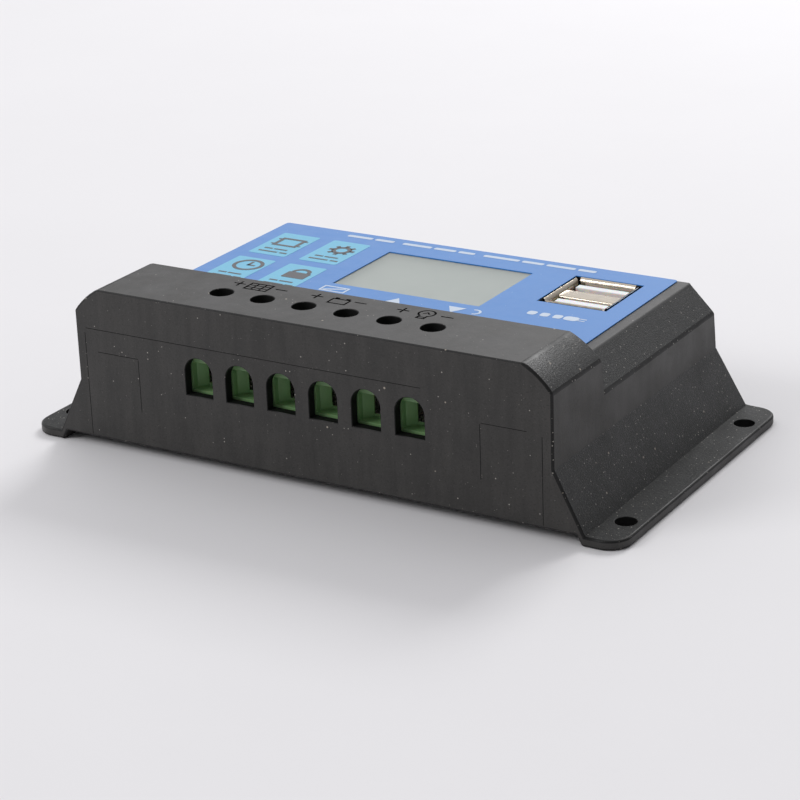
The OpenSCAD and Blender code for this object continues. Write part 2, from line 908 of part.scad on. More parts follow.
module regulator() { chip(regulator_at, 4.9, 3.9, 1.6, 4); }

// Surface-mount part with a metal cap at each end
module end_cap_part(at, w, d, h) {
    pad(at, w - 2 * end_cap_l, d, board_top + end_cap_standoff, board_top + h);
    for (s = [-1, 1])
        pad(at + [s * (w - end_cap_l) / 2, 0], end_cap_l, d, board_top, board_top + h * end_cap_share);
}

module power_diode() { color("#262628") end_cap_part(diode_at, 7.6, 5.8, 2.3); }

module shunt_resistor() { color("#3a3a3c") end_cap_part(shunt_at, 6.4, 3.2, 0.8); }

top_shell();
base_plate();
case_screws();
label_overlay();
display_window();
display_glass();
display_backlight();
display_holder();
display_pins();
menu_key();
up_key();
down_key();
menu_plunger();
up_plunger();
down_plunger();
menu_switch();
up_switch();
down_switch();
circuit_board();
board_screws();
terminal_housing();
terminal_screw(1);  // terminal_screw_1
terminal_screw(2);  // terminal_screw_2
terminal_screw(3);  // terminal_screw_3
terminal_screw(4);  // terminal_screw_4
terminal_screw(5);  // terminal_screw_5
terminal_screw(6);  // terminal_screw_6
terminal_clamp(1);  // terminal_clamp_1
terminal_clamp(2);  // terminal_clamp_2
terminal_clamp(3);  // terminal_clamp_3
terminal_clamp(4);  // terminal_clamp_4
terminal_clamp(5);  // terminal_clamp_5
terminal_clamp(6);  // terminal_clamp_6
terminal_contact(1);  // terminal_contact_1
terminal_contact(2);  // terminal_contact_2
terminal_contact(3);  // terminal_contact_3
terminal_contact(4);  // terminal_contact_4
terminal_contact(5);  // terminal_contact_5
terminal_contact(6);  // terminal_contact_6
usb_shell();
usb_insulator();
usb_contacts();
mosfet_1();
mosfet_2();
mosfet_3();
mosfet_4();
heat_spreader();
capacitor_1();
capacitor_2();
inductor_core();
inductor_winding();
microcontroller();
regulator();
power_diode();
shunt_resistor();
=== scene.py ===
import json
import math

import bmesh
import bpy
from mathutils import Matrix, Vector
from mathutils.bvhtree import BVHTree


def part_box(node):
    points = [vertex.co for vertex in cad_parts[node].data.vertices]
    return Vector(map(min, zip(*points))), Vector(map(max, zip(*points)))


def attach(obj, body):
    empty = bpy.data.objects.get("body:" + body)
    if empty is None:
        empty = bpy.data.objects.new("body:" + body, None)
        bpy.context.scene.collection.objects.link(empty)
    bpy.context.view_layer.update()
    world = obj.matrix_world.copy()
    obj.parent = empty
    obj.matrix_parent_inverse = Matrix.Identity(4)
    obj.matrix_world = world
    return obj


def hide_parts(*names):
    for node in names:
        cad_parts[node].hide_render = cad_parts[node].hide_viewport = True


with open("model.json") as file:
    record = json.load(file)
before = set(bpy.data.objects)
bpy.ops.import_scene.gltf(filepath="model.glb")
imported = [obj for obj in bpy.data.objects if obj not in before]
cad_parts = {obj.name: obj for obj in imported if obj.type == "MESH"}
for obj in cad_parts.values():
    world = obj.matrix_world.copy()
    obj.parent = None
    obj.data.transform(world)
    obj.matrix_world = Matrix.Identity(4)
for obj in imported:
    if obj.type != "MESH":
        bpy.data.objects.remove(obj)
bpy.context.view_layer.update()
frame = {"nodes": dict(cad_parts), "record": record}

# Lengths in this script are in millimetres until a mesh is made: MM turns them into metres.
MM = 0.001
CASE = "case"
nodes = frame["nodes"]
scene = bpy.context.scene


def node_box(name):
    """Lowest and highest corner of a CAD node, in millimetres."""
    low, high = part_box(name)
    return low / MM, high / MM


# ---------------------------------------------------------------- mesh building


def ngon_prism(bm, outline, z0, z1, material=0):
    """A closed prism on an outline drawn anticlockwise in X and Y."""
    low = [bm.verts.new((x, y, z0)) for x, y in outline]
    high = [bm.verts.new((x, y, z1)) for x, y in outline]
    faces = [bm.faces.new(high), bm.faces.new(low[::-1])]
    for i in range(len(outline)):
        j = (i + 1) % len(outline)
        faces.append(bm.faces.new((low[i], low[j], high[j], high[i])))
    for face in faces:
        face.material_index = material


def rectangle(x, y, w, h):
    """Outline of a rectangle round a centre."""
    return [(x - w / 2, y - h / 2), (x + w / 2, y - h / 2), (x + w / 2, y + h / 2), (x - w / 2, y + h / 2)]


def rounded(x, y, w, h, r, steps=4):
    """Outline of a rectangle with round corners."""
    points = []
    for corner, (sx, sy) in enumerate(((1, 1), (-1, 1), (-1, -1), (1, -1))):
        for k in range(steps + 1):
            a = math.radians(90 * (corner + k / steps))
            points.append((x + sx * (w / 2 - r) + r * math.cos(a), y + sy * (h / 2 - r) + r * math.sin(a)))
    return points


def stroke(a, b, w):
    """Outline of a straight stroke from a to b."""
    along = (Vector(b) - Vector(a)).normalized() * (w / 2)
    side = Vector((-along.y, along.x))
    a, b = Vector(a) - along, Vector(b) + along
    return [tuple(p) for p in (a - side, b - side, b + side, a + side)]


def arc_band(x, y, r, w, a0, a1, steps):
    """Outlines of the short pieces of a curved stroke of width w and radius r."""
    bands = []
    for k in range(steps):
        t0, t1 = (math.radians(a0 + (a1 - a0) * (k + d) / steps) for d in (0, 1))
        inner, outer = r - w / 2, r + w / 2
        bands.append([
            (x + inner * math.cos(t0), y + inner * math.sin(t0)),
            (x + outer * math.cos(t0), y + outer * math.sin(t0)),
            (x + outer * math.cos(t1), y + outer * math.sin(t1)),
            (x + inner * math.cos(t1), y + inner * math.sin(t1)),
        ])
    return bands


def frame_strokes(x, y, w, h, line):
    """Outlines of the four sides of a rectangular frame."""
    return [
        rectangle(x, y + (h - line) / 2, w, line),
        rectangle(x, y - (h - line) / 2, w, line),
        rectangle(x - (w - line) / 2, y, line, h - 2 * line),
        rectangle(x + (w - line) / 2, y, line, h - 2 * line),
    ]


def make_piece(name, bm, finishes, body=CASE, replaces=(), smooth=35):
    """Turns a bmesh in millimetres into a piece in metres that rides on a body."""
    bmesh.ops.scale(bm, vec=(MM, MM, MM), verts=bm.verts)
    bmesh.ops.recalc_face_normals(bm, faces=bm.faces)
    mesh = bpy.data.meshes.new(name)
    bm.to_mesh(mesh)
    bm.free()
    for finish in finishes:
        mesh.materials.append(finish)
    mesh.shade_smooth()
    mesh.set_sharp_from_angle(angle=math.radians(smooth))
    piece = bpy.data.objects.new(name, mesh)
    scene.collection.objects.link(piece)
    if body:
        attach(piece, body)
    if replaces:
        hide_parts(*replaces)
    return piece


def soften(piece, width, segments=2):
    """Rounds a CAD node's edges with modifiers, without touching its own mesh."""
    weld = piece.modifiers.new("weld", "WELD")
    weld.merge_threshold = 1e-6
    flat = piece.modifiers.new("flatten", "DECIMATE")
    flat.decimate_type = "DISSOLVE"
    flat.angle_limit = math.radians(1)
    bevel = piece.modifiers.new("edges", "BEVEL")
    bevel.width = width * MM
    bevel.segments = segments
    bevel.limit_method = "ANGLE"
    bevel.angle_limit = math.radians(30)
    bevel.use_clamp_overlap = True
    normals = piece.modifiers.new("normals", "WEIGHTED_NORMAL")
    normals.keep_sharp = True


def evaluated_copy(piece, name):
    """A mesh with a piece's modifiers applied."""
    graph = bpy.context.evaluated_depsgraph_get()
    mesh = bpy.data.meshes.new_from_object(piece.evaluated_get(graph))
    mesh.name = name
    return mesh


# ---------------------------------------------------------------- finishes


class Finish:
    """A node material worked out on the piece's own coordinates, with sizes in millimetres."""

    def __init__(self, name, roughness, metallic=0.0, ior=1.5, **sockets):
        self.material = bpy.data.materials.new(name)
        self.material.use_nodes = True
        self.tree = self.material.node_tree
        self.shader = self.tree.nodes["Principled BSDF"]
        self.shader.inputs["Roughness"].default_value = roughness
        self.shader.inputs["Metallic"].default_value = metallic
        self.shader.inputs["IOR"].default_value = ior
        for socket, value in sockets.items():
            self.shader.inputs[socket.replace("_", " ")].default_value = value
        self.place = self.tree.nodes.new("ShaderNodeTexCoord").outputs["Object"]

    def link(self, source, socket):
        self.tree.links.new(source, socket)

    def stretched(self, scale):
        """Object coordinates multiplied by a vector, for streaks."""
        mapping = self.tree.nodes.new("ShaderNodeMapping")
        mapping.inputs["Scale"].default_value = scale
        self.link(self.place, mapping.inputs["Vector"])
        return mapping.outputs["Vector"]

    def noise(self, size, detail=3.0, rough=0.55, place=None):
        """Cloudy noise whose features are about size across."""
        node = self.tree.nodes.new("ShaderNodeTexNoise")
        node.inputs["Scale"].default_value = 1 / (size * MM)
        node.inputs["Detail"].default_value = detail
        node.inputs["Roughness"].default_value = rough
        self.link(place or self.place, node.inputs["Vector"])
        return node.outputs["Fac"]

    def cells(self, size, output="Distance"):
        """Distance to, or random colour of, cells about size across."""
        node = self.tree.nodes.new("ShaderNodeTexVoronoi")
        node.inputs["Scale"].default_value = 1 / (size * MM)
        self.link(self.place, node.inputs["Vector"])
        return node.outputs[output]

    def remap(self, value, low, high, to_low=0.0, to_high=1.0):
        """Moves a value from one range to another, clamped."""
        node = self.tree.nodes.new("ShaderNodeMapRange")
        for name, number in (("From Min", low), ("From Max", high), ("To Min", to_low), ("To Max", to_high)):
            node.inputs[name].default_value = number
        self.link(value, node.inputs["Value"])
        return node.outputs["Result"]

    def blend(self, factor, a, b):
        """Mix of two colours, each a tuple or a socket."""
        node = self.tree.nodes.new("ShaderNodeMix")
        node.data_type = "RGBA"
        self.link(factor, node.inputs[0])
        for socket, value in ((node.inputs[6], a), (node.inputs[7], b)):
            if isinstance(value, tuple):
                socket.default_value = (*value, 1.0)
            else:
                self.link(value, socket)
        return node.outputs[2]

    def maths(self, kind, a, b):
        """A sum or product of two values, each a number or a socket."""
        node = self.tree.nodes.new("ShaderNodeMath")
        node.operation = kind
        for socket, value in ((node.inputs[0], a), (node.inputs[1], b)):
            if isinstance(value, (int, float)):
                socket.default_value = value
            else:
                self.link(value, socket)
        return node.outputs[0]

    def colour(self, source):
        self.link(source, self.shader.inputs["Base Color"])

    def bump(self, height, distance, strength=1.0):
        """Relief of the given depth, laid over any earlier relief."""
        node = self.tree.nodes.new("ShaderNodeBump")
        node.inputs["Distance"].default_value = distance * MM
        node.inputs["Strength"].default_value = strength
        self.link(height, node.inputs["Height"])
        if self.shader.inputs["Normal"].is_linked:
            self.link(self.shader.inputs["Normal"].links[0].from_socket, node.inputs["Normal"])
        self.link(node.outputs["Normal"], self.shader.inputs["Normal"])

    def specks(self, radius, spacing, share):
        """Mask of small specks in a share of the cells of a grid."""
        spot = self.remap(self.cells(spacing), radius / spacing, radius / spacing * 0.6)
        pick = self.tree.nodes.new("ShaderNodeSeparateColor")
        self.link(self.cells(spacing, "Color"), pick.inputs["Color"])
        return self.maths("MULTIPLY", spot, self.remap(pick.outputs["Red"], share, share - 0.02))


def moulded(name, dark, light, roughness, grain, grain_depth, dust=0.0, cloud=9.0, spread=0.06, **sockets):
    """Moulded plastic: cloudy colour, fine grain, uneven gloss and some dust."""
    f = Finish(name, roughness, **sockets)
    tone = f.blend(f.noise(cloud, 4.0), dark, light)
    if dust:
        tone = f.blend(f.specks(0.08, 0.7, dust), tone, (0.5, 0.48, 0.44))
    f.colour(tone)
    gloss = f.remap(f.noise(cloud * 0.4, 3.0), 0.3, 0.7, roughness - spread, roughness + spread)
    f.link(gloss, f.shader.inputs["Roughness"])
    f.bump(f.noise(grain, 2.0), grain_depth)
    return f.material


def metal(name, dark, light, roughness, streak=(1, 1, 1), spread=0.08, **sockets):
    """Plated or rolled metal with fine streaks and uneven gloss."""
    f = Finish(name, roughness, metallic=1.0, **sockets)
    lines = f.noise(0.5, 4.0, place=f.stretched(streak))
    f.colour(f.blend(f.remap(lines, 0.25, 0.75), dark, light))
    gloss = f.remap(f.noise(1.2, 3.0), 0.3, 0.7, roughness - spread, roughness + spread)
    f.link(gloss, f.shader.inputs["Roughness"])
    f.bump(lines, 0.003, 0.5)
    return f.material


def case_finish(name, dark, light, roughness, grain, depth, dust, painted_glint_share=0.1, **sockets):
    """Black ABS of the case: random clouds, faint upright streaks of painted reflection, painted glints on
    the grain, and pale dust.
    """
    f = Finish(name, roughness, ior=1.5, **sockets)
    clouds = f.noise(7.0, 5.0)
    # The upright streaks are painted reflection, mixed into the colour with the random clouds.
    painted_reflection_streaks = f.noise(2.2, 3.0, place=f.stretched((1, 1, 0.12)))
    tone = f.blend(f.remap(f.maths("ADD", clouds, painted_reflection_streaks), 0.75, 1.3), dark, light)
    pores = f.remap(f.noise(0.45, 2.0), 0.55, 0.72)
    tone = f.blend(f.maths("MULTIPLY", pores, 0.6), tone, tuple(c * 0.4 for c in dark))
    # Painted glints: pale points in the colour that stand in for highlights on the grain.
    painted_glints = f.remap(f.noise(0.26, 1.0), 0.56, 0.74)
    tone = f.blend(f.maths("MULTIPLY", painted_glints, painted_glint_share), tone, (0.12, 0.12, 0.115))
    tone = f.blend(f.specks(0.15, 0.9, dust), tone, (0.36, 0.34, 0.31))
    tone = f.blend(f.specks(0.08, 0.5, dust), tone, (0.22, 0.21, 0.19))
    tone = f.blend(f.specks(0.26, 2.6, dust * 0.7), tone, (0.34, 0.30, 0.25))
    f.colour(tone)
    f.link(f.remap(clouds, 0.3, 0.7, roughness - 0.08, roughness + 0.08), f.shader.inputs["Roughness"])
    f.bump(f.noise(grain, 2.0, 0.6), depth)
    f.bump(f.noise(1.8, 2.0), 0.008, 0.4)
    return f.material


def label_finish():
    """Blue printed film: satin, slightly darker and lighter in clouds."""
    f = Finish("label_blue", 0.34, ior=1.5, Coat_Weight=0.25, Coat_Roughness=0.22)
    tone = f.blend(f.noise(18.0, 2.0), (0.014, 0.172, 0.520), (0.022, 0.200, 0.575))
    f.colour(f.blend(f.specks(0.10, 0.9, 0.12), tone, (0.5, 0.58, 0.70)))
    f.link(f.remap(f.noise(3.0), 0.3, 0.7, 0.30, 0.38), f.shader.inputs["Roughness"])
    f.bump(f.noise(0.5, 2.0), 0.006, 0.5)
    f.bump(f.noise(14.0, 1.0), 0.05, 0.4)
    return f.material


def ink(name, colour, roughness=0.4):
    """Printing ink with slightly uneven cover."""
    f = Finish(name, roughness)
    f.colour(f.blend(f.noise(0.6, 3.0), tuple(c * 0.86 for c in colour), colour))
    f.bump(f.noise(0.3, 2.0), 0.004, 0.5)
    return f.material


def display_finish():
    """Grey-green face of the display, with very faint rows of unlit segments."""
    f = Finish("display_grey_green", 0.32)
    tone = f.blend(f.noise(16.0, 2.0), (0.345, 0.385, 0.355), (0.40, 0.43, 0.405))
    rows = f.tree.nodes.new("ShaderNodeTexBrick")
    rows.inputs["Scale"].default_value = 1 / (8 * MM)
    rows.inputs["Mortar Size"].default_value = 0.012
    f.link(f.place, rows.inputs["Vector"])
    f.colour(f.blend(f.maths("MULTIPLY", rows.outputs["Fac"], 0.10), tone, (0.31, 0.34, 0.315)))
    f.link(f.remap(f.noise(2.5), 0.3, 0.7, 0.28, 0.36), f.shader.inputs["Roughness"])
    return f.material


def lens_finish():
    """Lens over the display: its milky colour is partly the film's haze and partly a painted reflection veil
    that lightens the shade at the window's edges, so that the face shows only faintly through it.
    """
    f = Finish("lens_film_painted_veil", 0.12, ior=1.2, Alpha=0.55)
    # The milky colour is partly haze and partly a painted reflection veil.
    f.colour(f.blend(f.noise(12.0, 2.0), (0.54, 0.585, 0.56), (0.60, 0.635, 0.61)))
    f.link(f.remap(f.noise(6.0, 3.0), 0.3, 0.7, 0.08, 0.2), f.shader.inputs["Roughness"])
    return f.material


finishes = {
    "case_plastic": case_finish("case_satin", (0.0175, 0.0163, 0.0150), (0.0345, 0.0322, 0.0300),
                                0.47, 0.40, 0.02, 0.08),
    "case_screw_steel": metal("case_screw_zinc", (0.50, 0.50, 0.49), (0.70, 0.70, 0.69), 0.32),
    "label_film": label_finish(),
    "lens_clear": lens_finish(),
    "display_face": display_finish(),
    "white_plastic": moulded("white_nylon", (0.78, 0.79, 0.81), (0.86, 0.87, 0.89), 0.35, 0.3, 0.01, 0.05,
                             Subsurface_Weight=0.4, Subsurface_Scale=0.002),
    "pin_metal": metal("pin_gold", (0.75, 0.55, 0.25), (0.90, 0.70, 0.35), 0.22),
    "key_plastic": moulded("key_black", (0.012, 0.012, 0.012), (0.022, 0.022, 0.022), 0.36, 0.18, 0.01, 0.05),
    "switch_plastic": moulded("switch_black", (0.018, 0.018, 0.019), (0.035, 0.035, 0.036), 0.42, 0.2, 0.01),
    "board_green": moulded("board_mask", (0.006, 0.05, 0.016), (0.012, 0.085, 0.03), 0.28, 0.8, 0.01,
                           cloud=4.0),
    "terminal_green": moulded("terminal_polyamide", (0.180, 0.325, 0.140), (0.220, 0.390, 0.172),
                              0.38, 0.4, 0.012, 0.03,
                              Subsurface_Weight=0.08, Subsurface_Scale=0.0012),
    "terminal_steel": metal("terminal_zinc", (0.55, 0.54, 0.50), (0.75, 0.74, 0.70), 0.3),
    "tinned_copper": metal("tinned_bar", (0.60, 0.59, 0.57), (0.80, 0.79, 0.77), 0.3, streak=(0.1, 1, 1)),
    "usb_nickel": metal("shield_nickel", (0.50, 0.44, 0.36), (0.62, 0.56, 0.47), 0.20, streak=(0.08, 1, 1)),
    "chip_epoxy": moulded("chip_black", (0.012, 0.012, 0.013), (0.025, 0.025, 0.026), 0.5, 0.12, 0.02),
    "spreader_aluminium": metal("spreader_brushed", (0.60, 0.61, 0.62), (0.78, 0.79, 0.80), 0.35,
                                streak=(0.05, 1, 1)),
    "capacitor_sleeve": moulded("capacitor_blue_black", (0.008, 0.012, 0.05), (0.015, 0.022, 0.08),
                                0.28, 1.0, 0.008),
    "ferrite": moulded("ferrite_grey", (0.03, 0.03, 0.031), (0.05, 0.05, 0.052), 0.55, 0.15, 0.03),
    "winding_copper": metal("enamelled_copper", (0.55, 0.22, 0.07), (0.78, 0.38, 0.15), 0.25,
                            streak=(1, 1, 0.2)),
}
case_grained = case_finish("case_grained", (0.014, 0.0145, 0.0145), (0.026, 0.0265, 0.0265),
                           0.50, 0.30, 0.10, 0.45, 0.6)
# A darker, less glossy copy of the case plastic for the rounded edges: painted shade for the dark band along
# them.
case_edge_painted_shade = case_finish("case_edge_painted_shade", (0.006, 0.006, 0.006), (0.010, 0.0098, 0.0096), 0.50, 0.3, 0.006, 0.30,
                        Specular_IOR_Level=0.30)
# A darker, less glossy copy of the case plastic for the flange tops: painted shade that keeps the flanges
# dark.
case_flange_painted_shade = case_finish("case_flange_painted_shade", (0.014, 0.0145, 0.0145), (0.026, 0.0265, 0.0265),
                          0.46, 0.45, 0.05, 0.50, 0.3,
                          Specular_IOR_Level=0.10)
# A near-black copy of the case plastic for the engraved grooves, mould lines and inner faces: painted shade
# in these recesses.
case_groove_painted_shade = case_finish("case_groove_painted_shade", (0.004, 0.004, 0.004), (0.008, 0.008, 0.008),
                          0.6, 0.3, 0.006, 0.0, 0.0,
                          Specular_IOR_Level=0.2)
ink_light_blue = ink("ink_light_blue", (0.15, 0.49, 0.70))
ink_white = ink("ink_white", (0.55, 0.64, 0.76))
ink_brown = ink("ink_brown_grey", (0.075, 0.075, 0.085))

for part in frame["record"]["subparts"]:
    nodes[part["node"]].data.materials.clear()
    nodes[part["node"]].data.materials.append(finishes[part["material_slot"]])

# ---------------------------------------------------------------- upper case moulding

shell_low, shell_high = node_box("top_shell")
label_low, label_high = node_box("label_overlay")
FRONT = shell_low.y
RIDGE_TOP = shell_high.z
FLANGE_BELOW = 6.0
PAINTED_SHADE_SLOT = 4
PANEL_TOP = label_low.z


def outer_faces(bm):
    """Faces that look out into the open, found by a ray along each face's normal."""
    tree = BVHTree.FromBMesh(bm)
    seen = set()
    for face in bm.faces:
        start = face.calc_center_median() + face.normal * 1e-5
        if tree.ray_cast(start, face.normal)[0] is None:
            seen.add(face.index)
    return seen


def shell_mesh():
    """The CAD moulding with merged points and weights on the edges to be rounded."""
    bm = bmesh.new()
    bm.from_mesh(nodes["top_shell"].data)
    bmesh.ops.remove_doubles(bm, verts=bm.verts, dist=2e-6)
    bmesh.ops.dissolve_limit(bm, angle_limit=math.radians(0.6), verts=bm.verts, edges=bm.edges)
    bm.faces.ensure_lookup_table()
    outer = outer_faces(bm)
    weight = bm.edges.layers.float.new("bevel_weight_edge")
    for edge in bm.edges:
        if len(edge.link_faces) != 2 or edge.calc_face_angle_signed() < math.radians(15):
            continue
        open_sides = sum(face.index in outer for face in edge.link_faces)
        edge[weight] = (0, 0.32, 1)[open_sides]
    for face in bm.faces:
        tilt = abs(face.normal.x)
        face.material_index = 1 if 0.25 < tilt < 0.95 and face.normal.z > 0.1 else 0
        # Flat tops low down, on the flanges, take slot 3, the copy with painted shade.
        if face.normal.z > 0.95 and face.calc_center_median().z < FLANGE_BELOW * MM:
            face.material_index = 3
        # Faces that don't look out, and later the cut faces, take the near-black finish with painted shade.
        if face.index not in outer:
            face.material_index = PAINTED_SHADE_SLOT
        face.smooth = True
    mesh = bpy.data.meshes.new("moulding")
    bm.to_mesh(mesh)
    bm.free()
    return mesh


def cutter(name, prism):
    """A closed cutting body on one (outline, z0, z1) prism, whose cut faces take the groove finish with
    painted shade.
    """
    bm = bmesh.new()
    ngon_prism(bm, *prism, material=PAINTED_SHADE_SLOT)
    bmesh.ops.scale(bm, vec=(MM, MM, MM), verts=bm.verts)
    bmesh.ops.recalc_face_normals(bm, faces=bm.faces)
    mesh = bpy.data.meshes.new(name)
    bm.to_mesh(mesh)
    bm.free()
    for _ in range(PAINTED_SHADE_SLOT + 1):
        mesh.materials.append(case_groove_painted_shade)
    tool = bpy.data.objects.new(name, mesh)
    scene.collection.objects.link(tool)
    return tool


ENGRAVE = 0.45
LINE = 0.42


def engraved_symbols():
    """Polarity signs and the signs for panel, battery and load, cut into the ridge."""
    row = FRONT + 15.5
    shapes = []
    for plus_x, minus_x in ((-23.8, -14.1), (-5.8, 4.0), (13.5, 23.1)):
        shapes += [rectangle(plus_x, row, 2.7, LINE), rectangle(plus_x, row, LINE, 2.7)]
        shapes.append(rectangle(minus_x, row, 2.7, LINE))
    shapes += frame_strokes(-19.1, row - 0.4, 5.4, 3.8, LINE)
    shapes += [rectangle(-19.1, row - 0.4 + k * 1.2, 5.4, LINE * 0.8) for k in (-0.5, 0.5)]
    shapes += [rectangle(-19.1 + k * 1.8, row - 0.4, LINE * 0.8, 3.8) for k in (-0.5, 0.5)]
    shapes += frame_strokes(-0.3, row - 1.0, 4.2, 2.9, LINE)
    shapes += [rectangle(-0.3 + k * 1.2, row + 0.7, 1.0, LINE * 1.4) for k in (-1, 1)]
    shapes += arc_band(18.6, row + 0.2, 1.65, LINE, -55, 235, 18)
    shapes += [stroke((x, row - 1.2), (x, row - 2.6), LINE) for x in (17.8, 19.4)]
    shapes += [rectangle(18.6, row - 2.6, 1.9, LINE), rectangle(18.6, row - 1.9, 1.6, LINE * 0.8)]
    shapes.append(stroke((18.0, row), (18.6, row + 0.7), LINE * 0.8))
    shapes.append(stroke((18.6, row + 0.7), (19.2, row), LINE * 0.8))
    return [(s, RIDGE_TOP - ENGRAVE, RIDGE_TOP + 0.5) for s in shapes]


def witness_lines():
    """Fine lines that the mould's inserts leave on the terminal face."""
    line, depth = 0.13, 0.06
    y0, y1 = FRONT - 0.5, FRONT + depth

    def upright(x, z0, z1):
        return (rectangle(x, (y0 + y1) / 2, line, y1 - y0), z0, z1)

    def level(x0, x1, z):
        return (rectangle((x0 + x1) / 2, (y0 + y1) / 2, x1 - x0, y1 - y0), z - line / 2, z + line / 2)

    return [
        upright(-51.1, 2.6, 24.2), upright(51.1, 2.6, 20.0), level(-50.8, 26.0, 25.2),
        level(-48.2, -38.4, 20.5), upright(-38.4, 9.3, 20.3),
        upright(38.3, 9.3, 20.3), level(38.5, 48.0, 20.5),
    ]


def build_case():
    """Upper moulding: rounded edges first, then the engraving and the mould lines.

    The strokes overlap, so each is cut on its own: that keeps the moulding closed.
    """
    body = bpy.data.objects.new("upper_moulding", shell_mesh())
    scene.collection.objects.link(body)
    for finish in (finishes["case_plastic"], case_grained, case_edge_painted_shade, case_flange_painted_shade, case_groove_painted_shade):
        body.data.materials.append(finish)
    bevel = body.modifiers.new("edges", "BEVEL")
    bevel.limit_method = "WEIGHT"
    bevel.width = 0.45 * MM
    bevel.segments = 3
    # The rounded edges take slot 2, the copy with painted shade.
    bevel.material = 2
    bevel.use_clamp_overlap = False
    bevel.miter_outer = "MITER_SHARP"
    tools = []
    for prism in engraved_symbols() + witness_lines():
        tool = cutter("stroke_cutter", prism)
        cut = body.modifiers.new("stroke", "BOOLEAN")
        cut.operation = "DIFFERENCE"
        cut.object = tool
        cut.solver = "MANIFOLD"
        tools.append(tool)
    normals = body.modifiers.new("normals", "WEIGHTED_NORMAL")
    normals.keep_sharp = True
    body.data.set_sharp_from_angle(angle=math.radians(35))
    mesh = evaluated_copy(body, "upper_moulding")
    body.modifiers.clear()
    body.data = mesh
    for tool in tools:
        bpy.data.objects.remove(tool)
    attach(body, CASE)
    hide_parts("top_shell")
    return body


build_case()
soften(nodes["base_plate"], 0.2)

# ---------------------------------------------------------------- printed film on the panel

PRINT_T = 0.03
PRINT_Z = label_high.z


def build_print(name, finish, outlines, lift=0.0):
    """Ink shapes lying on the film."""
    bm = bmesh.new()
    for outline in outlines:
        ngon_prism(bm, outline, PRINT_Z + lift, PRINT_Z + lift + PRINT_T)
    return make_piece(name, bm, [finish])


soften(nodes["label_overlay"], 0.06, segments=1)

BOX_W, BOX_D = 9.2, 14.4
BOX_AT = [(x, y) for y in (FRONT + 55.4, FRONT + 38.0) for x in (-39.75, -27.1)]
build_print("function_boxes", ink_light_blue, [rounded(x, y, BOX_W, BOX_D, 0.5) for x, y in BOX_AT])


def caption_bars(x, y):
    """Broken bars in place of two lines of small print."""
    return [rectangle(x - 1.9, y + 0.95, 2.0, 0.6), rectangle(x + 1.1, y + 0.95, 3.2, 0.6),
            rectangle(x - 0.9, y - 0.95, 4.6, 0.6), rectangle(x + 2.9, y - 0.95, 1.8, 0.6)]


def screen_sign(x, y):
    shapes = frame_strokes(x, y, 6.0, 5.2, 0.85)
    return shapes + [rectangle(x + s * 3.3, y + t * 1.6, 0.7, 0.5) for s in (-1, 1) for t in (-1, 1)]


def gear_sign(x, y):
    shapes = arc_band(x, y, 1.75, 1.0, 0, 360, 20)
    for k in range(8):
        a = math.radians(45 * k)
        shapes.append(stroke((x + 2.4 * math.cos(a), y + 2.4 * math.sin(a)),
                             (x + 2.6 * math.cos(a), y + 2.6 * math.sin(a)), 0.9))
    return shapes


def clock_sign(x, y):
    hands = [stroke((x, y), (x, y + 1.8), 0.6), stroke((x, y), (x + 1.3, y), 0.6)]
    return arc_band(x, y, 3.0, 0.85, 0, 360, 28) + hands


def lock_sign(x, y):
    return [rounded(x, y - 1.4, 5.4, 3.6, 0.4)] + arc_band(x, y + 0.5, 1.8, 0.9, 0, 180, 12)


signs = []
SIGN_SHIFT = ((0.2, 1.6), (0.6, 1.7), (0.6, 2.6), (0.8, 2.4))
for (x, y), sign, (dx, dy) in zip(BOX_AT, (screen_sign, gear_sign, clock_sign, lock_sign), SIGN_SHIFT):
    signs += sign(x + dx, y + dy) + caption_bars(x, y - 4.2)
build_print("function_signs", ink_brown, signs, lift=PRINT_T)


def title_bars():
    """A band of plain bars along the back edge, in place of the printed title."""
    shapes, x, y = [], -30.8, FRONT + 66.7
    for length in (6.2, 4.6, 0, 7.0, 5.2, 3.8, 0, 8.4, 5.0, 6.6, 4.0):
        if length:
            shapes.append(rounded(x + length / 2, y, length, 1.2, 0.4))
        x += (length or 0.8) + 0.7
    return shapes


def triangle(x, y, half, height):
    return [(x - half, y - height / 2), (x + half, y - height / 2), (x, y + height / 2)]


def key_signs():
    """Menu, up and down signs behind the keys, and the socket sign."""
    y = FRONT + 34.3
    shapes = frame_strokes(-14.4, y + 0.6, 6.0, 3.0, 0.45) + [stroke((-16.4, y - 0.2), (-12.4, y + 1.4), 0.6)]
    shapes.append(triangle(0.4, y - 0.3, 2.0, 3.3))
    shapes.append([(x, 2 * y - z) for x, z in triangle(13.7, y, 2.0, 3.2)][::-1])
    shapes += arc_band(18.0, y + 0.5, 1.2, 0.5, -90, 120, 8)
    shapes.append(rounded(36.9, FRONT + 39.4, 3.2, 2.2, 0.9))
    shapes += [stroke((38.7, FRONT + d), (39.8, FRONT + d), 0.35) for d in (39.9, 38.9)]
    shapes += [rounded(x, FRONT + 39.3, 1.9, 2.0, 0.6) for x in (28.4, 31.2, 34.0)]
    return shapes


build_print("white_print", ink_white, title_bars() + key_signs())

# ---------------------------------------------------------------- display, keys and inner parts

